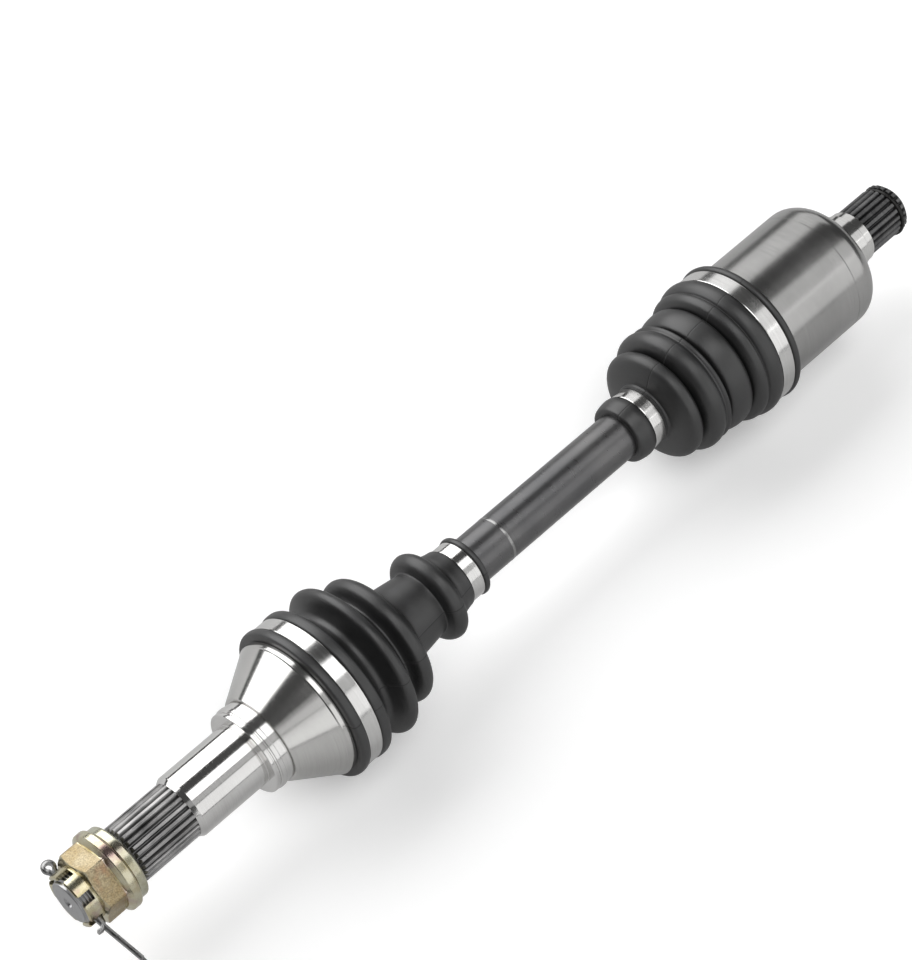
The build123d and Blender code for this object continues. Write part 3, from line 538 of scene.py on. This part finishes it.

# ---------------------------------------------------------------- Outer boot
# Moulded black rubber boot: a cuff on the bell, two deep folds, a long cone to the shaft and one
# small fold before its neck. It is drawn in four lengths.


def rubber_skin(name, parting, flash):
    """Satin moulded rubber with a fine orange peel and handling bloom.

    parting is the angle of the mould's joint about the axle, and flash the height it left, in metres."""
    finish, tree, shader = new_finish(name, 0.0, 1.75)
    place = tree.nodes.new("ShaderNodeTexCoord").outputs["Object"]
    bloom = noise_node(tree, place, 46.0, 5.0, 0.62)
    split = tree.nodes.new("ShaderNodeSeparateXYZ")
    tree.links.new(place, split.inputs[0])
    height_part = sum_node(tree, "MULTIPLY", split.outputs[2], cos(parting))
    side_part = sum_node(tree, "MULTIPLY", split.outputs[1], sin(parting))
    off_line = sum_node(tree, "ABSOLUTE", sum_node(tree, "SUBTRACT", height_part, side_part))
    line = spread_values(tree, off_line, 0.00012, 0.00038, 1.0, 0.0)
    colour = shade_between(tree, bloom, (0.0035, 0.0035, 0.0037), (0.0095, 0.0095, 0.0100), 0.35, 0.7)
    mix = tree.nodes.new("ShaderNodeMix")
    mix.data_type = "RGBA"
    tree.links.new(line, mix.inputs["Factor"])
    tree.links.new(colour, mix.inputs[6])
    mix.inputs[7].default_value = (0.001, 0.001, 0.001, 1)
    tree.links.new(mix.outputs[2], shader.inputs["Base Color"])
    rough = spread_values(tree, bloom, 0.3, 0.7, 0.38, 0.48)
    rough_line = sum_node(tree, "ADD", rough, sum_node(tree, "MULTIPLY", line, 0.3))
    tree.links.new(rough_line, shader.inputs["Roughness"])
    peel = sum_node(tree, "MULTIPLY", noise_node(tree, place, 1500.0, 3.0, 0.6), 0.000022)
    raise_grain(tree, shader, sum_node(tree, "ADD", peel, sum_node(tree, "MULTIPLY", line, flash)), 1.0)
    return finish


def smooth_fold(points):
    """Rounded line through the given places, as a mould maker's spline would run."""
    steps = 6
    line = []
    for number in range(len(points) - 1):
        a, b = Vector(points[number]), Vector(points[number + 1])
        before = Vector(points[max(0, number - 1)])
        after = Vector(points[min(len(points) - 1, number + 2)])
        for step in range(steps):
            t = step / steps
            line.append(0.5 * ((2 * a) + (b - before) * t + (2 * before - 5 * a + 4 * b - after) * t * t
                               + (3 * a - before - 3 * b + after) * t ** 3))
    return line + [Vector(points[-1])]


def cut_across(outer, inner, x, k):
    """Where a cut at x meets the outside and the inside of the wall, between its points k and k + 1."""
    share = (x - outer[k].x) / (outer[k + 1].x - outer[k].x)
    return [(x, outer[k].lerp(outer[k + 1], share).y, 0)], [(x, inner[k].y, 0)]


def mould_boot(name, outside, seat, wall, cuts, finish, node, hinges):
    """A folded shell cut into lengths at the given places; each length is a separate piece, fixed to no body.
    """
    outer = smooth_fold(outside)
    inner = [Vector((p.x, seat(p.x, min(q.y for q in outer if abs(q.x - p.x) < 0.9) - wall))) for p in outer]
    for number, (start, end, (bodies, zone)) in enumerate(zip(cuts, cuts[1:], hinges), 1):
        span = [k for k, p in enumerate(outer) if start <= p.x <= end]
        lip, lip_under = cut_across(outer, inner, start, span[0] - 1) if span[0] else ([], [])
        rim, rim_under = cut_across(outer, inner, end, span[-1]) if span[-1] + 1 < len(outer) else ([], [])
        top = lip + [(outer[k].x, outer[k].y, 0) for k in span] + rim
        under = rim_under + [(inner[k].x, inner[k].y, 0) for k in reversed(span)] + lip_under
        bm = turned_blank(top + under, True, sides=160)
        stands_for = [node] if number == 1 else []
        piece = polish_off(bm, f"{name}_{number}", [finish], None, stands_for)
        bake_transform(piece)


outer_fold = [
    (32.3, 33.4), (32.35, 36.1), (33.0, 37.2), (34.5, 37.5), (36.0, 37.3), (36.75, 36.7),
    (36.95, 35.95), (37.4, 35.85), (40.5, 35.85), (43.6, 35.85), (44.05, 35.95), (44.3, 36.7),
    (45.1, 37.25), (46.5, 37.4), (48.2, 37.25), (49.3, 36.5), (50.0, 34.4), (51.0, 31.4), (52.8, 28.8),
    (55.3, 27.7), (57.4, 28.5), (58.8, 30.9), (60.0, 34.0), (61.2, 36.3), (63.0, 37.15), (65.2, 36.4),
    (66.8, 33.8), (68.0, 30.0), (69.6, 26.6), (71.3, 25.4), (72.7, 26.6), (73.7, 29.0), (75.0, 30.8),
    (77.0, 31.5), (79.0, 31.2), (80.7, 29.9), (82.2, 27.3), (83.5, 23.6), (84.7, 20.3), (86.3, 18.5),
    (89.5, 17.6), (94.0, 17.0), (99.0, 16.3), (102.8, 15.8), (103.9, 16.1), (104.4, 17.8),
    (105.0, 19.6), (106.4, 21.0), (108.4, 21.7), (110.2, 21.5), (111.8, 20.4), (112.8, 18.5),
    (113.6, 16.8), (114.8, 15.9), (116.7, 15.5), (119.0, 14.9), (120.6, 14.6), (121.9, 14.3),
    (122.35, 13.5), (122.6, 13.05), (125.8, 13.05), (129.1, 13.05), (129.3, 13.5), (129.6, 14.3),
    (130.6, 14.6), (131.6, 14.4), (132.0, 13.7), (132.05, 12.0)]
outer_rubber = rubber_skin("outer_rubber", radians(151), 0.00006)
mould_boot(
    "outer_boot_rubber", outer_fold, lambda x, r: 32.95 if x < 48.3 else max(r, 11.32), 1.9,
    (32.0, 59.0, 69.0, 79.0, 133.0), outer_rubber, "outer_boot",
    ((("outer_housing", "outer_ball_top"), (49, 59)), (("outer_ball_top", "outer_cage"), (59, 69)),
     (("outer_cage", "outer_ball_bottom"), (69, 79)), (("outer_ball_bottom", "axle_shaft"), (79, 89))))

# ---------------------------------------------------------------- Boot clamps
# Smooth rolled stainless bands with soft rolled edges, two to a boot. Each is closed and shrunk into
# the groove that is moulded in the boot's cuff or neck.
band_steel = turned_steel("band_steel", (0.62, 0.615, 0.605), (0.75, 0.745, 0.735), 0.12, 0.22, 900.0,
                          0.000006, 60.0)
edge_drop, edge_roll = 0.12, 0.25
for name, start, end, seat, band, body in (
        ("outer_big_clamp", 37.0, 43.9, 35.88, 0.92, "outer_housing"),
        ("outer_small_clamp", 122.6, 129.2, 13.1, 0.75, "axle_shaft"),
        ("inner_small_clamp", 238.1, 244.5, 13.92, 0.73, "axle_shaft"),
        ("inner_big_clamp", 301.1, 308.8, 33.95, 0.95, "inner_housing")):
    bm = turned_blank([(start, seat, 0.1), (start, seat + band - edge_drop, 0),
                       (start + edge_roll, seat + band, 0.2), (end - edge_roll, seat + band, 0.2),
                       (end, seat + band - edge_drop, 0), (end, seat, 0.1)], True)
    polish_off(bm, name + "_band", [band_steel], body, [name])

# ---------------------------------------------------------------- Working parts of both joints
# Hardened races, cages and balls with the rings that keep them, all hidden under the boots and greased.
# Their shapes are the working model's own, and only their ground and hardened finishes are given here.
cage_steel = turned_steel("cage_steel", (0.22, 0.21, 0.20), (0.40, 0.385, 0.37), 0.22, 0.40, 700.0)
ball_steel = turned_steel("ball_steel", (0.62, 0.62, 0.63), (0.72, 0.72, 0.73), 0.05, 0.10, 300.0,
                          0.000001, 90.0)
for node_name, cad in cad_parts.items():
    if any(word in node_name for word in ("race", "cage", "ball", "retaining")):
        finish = ball_steel if "ball" in node_name else cage_steel
        cad.data.materials.clear()
        cad.data.materials.append(finish)

# ---------------------------------------------------------------- Shaft
# Solid forged bar, splined into both races, with a satin charcoal coat. One narrow ring past the
# outer boot is bare metal, and so are the ends that the coat's masking covered.
shaft_coat, tree, shader = new_finish("shaft_coat", 0.85, 1.5)
marks = tree.nodes.new("ShaderNodeGroup")
marks.node_tree = turning
marks.inputs[0].default_value, marks.inputs[1].default_value = 420.0, 40.0
tree.links.new(shade_between(tree, marks.outputs["Patches"], (0.115, 0.115, 0.118), (0.165, 0.163, 0.163)),
               shader.inputs["Base Color"])
tree.links.new(spread_values(tree, marks.outputs["Rings"], 0.3, 0.7, 0.26, 0.34), shader.inputs["Roughness"])
place = tree.nodes.new("ShaderNodeTexCoord").outputs["Object"]
raise_grain(tree, shader, noise_node(tree, place, 900.0, 3.0, 0.6), 0.00003)
bare_ring = turned_steel("bare_ring", (0.22, 0.22, 0.22), (0.36, 0.36, 0.355), 0.16, 0.28, 2400.0)
shaft_radius = 11.25
shaft_turn = [
    (27.5, 0, 0), (27.5, 10.0, 1.0), (30.0, 10.0, 0), (30.0, 9.2, 0), (31.4, 9.2, 0), (31.4, 10.0, 0),
    (64.5, 10.0, 0.8), (70.0, shaft_radius, 0.8), (149.7, shaft_radius, 0.1), (149.8, 11.32, 0.05),
    (151.0, 11.32, 0.05), (151.1, shaft_radius, 0.1), (152.8, shaft_radius, 0), (152.9, 11.21, 0),
    (153.2, 11.21, 0), (153.3, shaft_radius, 0), (228.0, 11.18, 0), (305.0, 11.18, 0.8), (311.0, 9.8, 0.8),
    (335.1, 9.8, 0), (335.1, 9.0, 0), (336.5, 9.0, 0), (336.5, 9.8, 0), (339.0, 9.8, 1.0), (339.0, 0, 0)]
bm = turned_blank(shaft_turn)
polish_off(bm, "axle_shaft_bar", [shaft_coat, bare_ring], "axle_shaft", ["axle_shaft"],
           lambda x, r: 1 if (149.75 < x < 151.05 and r > 11) or x < 64 or x > 306 else 0)

# ---------------------------------------------------------------- Inner boot
# Moulded black rubber boot of four growing folds, with a sharp thin ridge between the second and third.
# Drawn in five lengths.
inner_fold = [
    (228.35, 12.2), (228.4, 13.3), (229.1, 14.3), (231.0, 14.9), (234.3, 15.35), (236.5, 15.15),
    (237.5, 14.8), (237.85, 14.1), (238.15, 13.88), (241.2, 13.88), (244.3, 13.88), (244.6, 14.3),
    (244.85, 14.85), (245.3, 14.8), (245.7, 14.5), (246.1, 14.9), (246.5, 15.1), (246.9, 15.3),
    (247.2, 16.6), (247.7, 19.2), (248.5, 22.4), (249.6, 25.2), (251.0, 26.8), (252.8, 27.35),
    (254.8, 27.1), (256.2, 26.0), (257.1, 24.1), (257.6, 21.9), (258.0, 24.2), (258.8, 27.0),
    (260.2, 29.3), (262.0, 30.6), (264.3, 31.0), (266.3, 30.6), (267.6, 29.7), (268.4, 29.6),
    (269.2, 30.2), (270.1, 30.5), (270.9, 29.8), (271.5, 27.8), (272.0, 25.4), (272.5, 27.0),
    (273.4, 28.9), (275.2, 30.1), (277.9, 30.9), (281.0, 31.2), (283.6, 30.9), (285.2, 29.9),
    (286.0, 28.2), (286.6, 30.2), (287.8, 32.6), (289.4, 33.8), (291.0, 34.1), (292.2, 33.7),
    (292.8, 33.1), (293.6, 34.1), (295.2, 35.3), (297.4, 35.8), (299.4, 35.6), (300.5, 35.0),
    (300.9, 34.1), (301.3, 33.9), (305.0, 33.9), (308.5, 33.9), (308.9, 34.2), (309.3, 35.1),
    (310.0, 35.6), (310.9, 35.72), (311.9, 35.4), (312.45, 34.6), (312.5, 32.2)]
inner_rubber = rubber_skin("inner_rubber", radians(88), -0.00012)
mould_boot(
    "inner_boot_rubber", inner_fold, lambda x, r: 31.48 if x > 302.8 else max(r, 11.3), 1.6,
    (228.0, 258.75, 267.5, 276.25, 285.0, 313.0), inner_rubber, "inner_boot",
    ((("axle_shaft", "inner_ball_bottom"), (250, 258.75)),
     (("inner_ball_bottom", "inner_cage"), (258.75, 267.5)),
     (("inner_cage", "inner_ball_top"), (267.5, 276.25)),
     (("inner_ball_top", "inner_boot"), (276.25, 285)),
     (("inner_boot", "inner_housing"), (285, 301))))

# ---------------------------------------------------------------- Inner joint housing
# Turned steel cup with six straight ball tracks and a rounded closed end, in one piece with the ground
# seal neck and the 23-tooth phosphated stub that goes into the gearbox.
cup_steel = turned_steel("cup_steel", (0.35, 0.348, 0.342), (0.45, 0.447, 0.44), 0.19, 0.27, 4200.0,
                         0.0000015, 30.0)
neck_steel = turned_steel("neck_steel", (0.58, 0.575, 0.565), (0.74, 0.735, 0.72), 0.12, 0.22, 3200.0,
                          0.000005)
# the gearbox stub's spline colour carries painted shade, darker at its tooth roots
phosphate = turned_steel("phosphate_spline", (0.085, 0.085, 0.088), (0.19, 0.19, 0.19), 0.38, 0.55, 1200.0,
                         0.00002, 70.0, (0.0110, 0.01245, 0.3))
corner, corner_x, corner_r = 11, 364.1, 20.4
cup_turn = [
    (360.0, 0, 0), (360.0, 23.8, 2.0), (306.2, 23.8, 0), (306.2, 25.1, 0), (304.3, 25.1, 0),
    (304.3, 23.85, 0), (303.0, 25.0, 0.2), (303.0, 31.3, 0.5), (358.2, 31.4, 0), (358.35, 31.2, 0),
    (358.65, 31.2, 0), (358.8, 31.4, 0)]
corner_turn = [(corner_x + corner * sin(radians(a)), corner_r + corner * cos(radians(a)), 0)
               for a in range(0, 91, 9)]
stub_root, stub_crest, stub_teeth = 11.15, 12.5, 23
stub_turn = [
    (375.1, 15.2, 0.4), (376.2, 14.0, 0.3), (387.4, 14.0, 0.2), (387.5, 13.5, 0), (391.7, 13.3, 0.3),
    (391.9, stub_root, 0), (412.3, stub_root, 0), (412.4, 10.6, 0), (414.4, 10.6, 0),
    (414.5, stub_root, 0), (417.7, stub_root, 0), (419.0, 9.9, 0.3), (419.0, 2.6, 0.1), (415.8, 1.0, 0),
    (412.0, 0, 0)]
bm = turned_blank(cup_turn + corner_turn + stub_turn)

# six straight tracks are broached outwards from the cup's bore
cup_ball_circle, broach_radius = 21.5, 6.45
for vert in bm.verts:
    reach = sqrt(vert.co.y ** 2 + vert.co.z ** 2)
    if 22.5 < reach < 25.3 and 302.9 < vert.co.x < 358.5:
        turn = (atan2(vert.co.y, vert.co.z) + pi / 6) % (pi / 3) - pi / 6
        aside = cup_ball_circle * sin(turn)
        if abs(aside) < broach_radius:
            deep = cup_ball_circle * cos(turn) + sqrt(broach_radius ** 2 - aside ** 2)
            vert.co.yz = vert.co.yz * max(1.0, deep / reach)
cut_teeth(bm, 391.6, 412.4, stub_root, stub_crest, stub_teeth, bevel_start=0.0, bevel_end=0.25)
cut_teeth(bm, 414.4, 417.9, stub_root, stub_crest, stub_teeth, bevel_start=0.25, bevel_end=1.0)


def cup_zone(x, r):
    """Which finish each part of the cup has: 0 cup, 1 seal neck, 2 phosphated stub, 3 bore and tracks."""
    if x > 391.75:
        return 2
    if x > 375.0 and r < 14.7:
        return 1
    return 3 if r < 28.2 and x < 361 else 0


polish_off(bm, "inner_housing_cup", [cup_steel, neck_steel, phosphate, track_steel], "inner_housing",
           ["inner_housing"], cup_zone)

# ---------------------------------------------------------------- Stub circlip
# Open ring of black spring wire that snaps into the gearbox's side gear and holds the stub there.
# It lies loose and off centre in its groove across the teeth.
clip_black, tree, shader = new_finish("clip_black", 0.6)
place = tree.nodes.new("ShaderNodeTexCoord").outputs["Object"]
scale_marks = noise_node(tree, place, 700.0, 3.0, 0.6)
scaled_black = shade_between(tree, scale_marks, (0.012, 0.012, 0.012), (0.035, 0.034, 0.033))
tree.links.new(scaled_black, shader.inputs["Base Color"])
tree.links.new(spread_values(tree, scale_marks, 0.3, 0.7, 0.32, 0.5), shader.inputs["Roughness"])
raise_grain(tree, shader, scale_marks, 0.00002)
clip_middle, clip_radius, clip_wire = (413.4, 0, 0), 11.95, 0.85
bm = bmesh.new()
bmesh.ops.create_circle(bm, cap_ends=True, radius=clip_wire, segments=14)
bmesh.ops.rotate(bm, cent=(0, 0, 0), matrix=Matrix.Rotation(pi / 2, 3, "X"), verts=bm.verts[:])
bmesh.ops.translate(bm, verts=bm.verts[:], vec=(clip_middle[0], 0, -clip_radius))
bmesh.ops.rotate(bm, cent=clip_middle, matrix=Matrix.Rotation(radians(60), 3, "X"), verts=bm.verts[:])
bmesh.ops.spin(bm, geom=bm.verts[:] + bm.edges[:] + bm.faces[:], cent=clip_middle, axis=(1, 0, 0),
               dvec=(0, 0, 0), angle=radians(320), steps=72, use_merge=False, use_duplicate=False)
bmesh.ops.translate(bm, verts=bm.verts[:], vec=(0, -0.55, -0.2))
bmesh.ops.recalc_face_normals(bm, faces=bm.faces[:])
polish_off(bm, "stub_clip_wire", [clip_black], "inner_housing", ["stub_clip"], crease=60.0)
